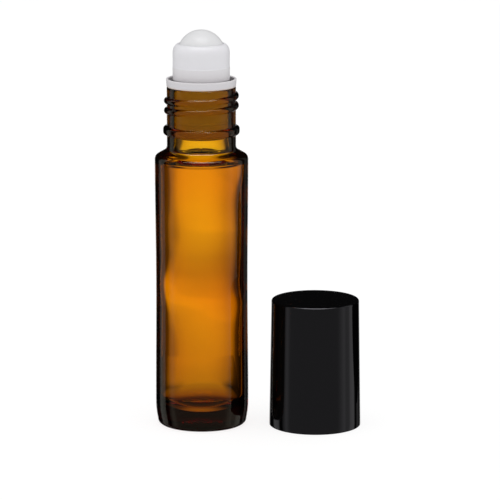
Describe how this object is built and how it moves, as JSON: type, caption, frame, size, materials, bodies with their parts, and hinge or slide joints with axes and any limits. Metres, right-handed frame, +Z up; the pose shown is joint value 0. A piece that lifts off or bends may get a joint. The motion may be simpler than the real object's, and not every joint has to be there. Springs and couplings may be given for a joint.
{
  "type": "roll-on bottle",
  "caption": "Small amber glass roll-on bottle with a screw neck, a pressed-in white roller housing that holds a rolling ball, and a black screw cap taken off and standing beside it.",
  "frame": {"origin": "centre of the ring that the bottle stands on, on the bottle's axis, at table height", "axes": "+Z up the bottle's axis, towards its mouth; +X towards the cap that stands beside it; the picture looks along +Y"},
  "size_m": [0.0442, 0.0214, 0.0856],
  "materials": {
    "amber_glass": "clear amber glass, fire polished",
    "natural_plastic": "natural white polyethylene, translucent, satin",
    "white_plastic": "white plastic, smooth",
    "black_plastic": "black, high gloss"
  },
  "bodies": {
    "bottle": {"glass_bottle": "amber_glass"},
    "roller_fitting": {"roller_housing": "natural_plastic"},
    "ball": {"roller_ball": "white_plastic"},
    "screw_cap": {"cap": "black_plastic"}
  },
  "joints": [
    {"name": "housing_pull", "type": "slide", "parent": "bottle", "child": "roller_fitting", "axis": [0, 0, 1], "range_m": [0, 0.02]},
    {"name": "ball_roll", "type": "hinge", "parent": "roller_fitting", "child": "ball", "pos_m": [0, 0, 0.0805], "axis": [1, 0, 0], "continuous": true},
    {"name": "cap_lift", "type": "slide", "parent": "bottle", "child": "screw_cap", "axis": [0, 0, 1], "range_m": [0, 0.09]}
  ]
}
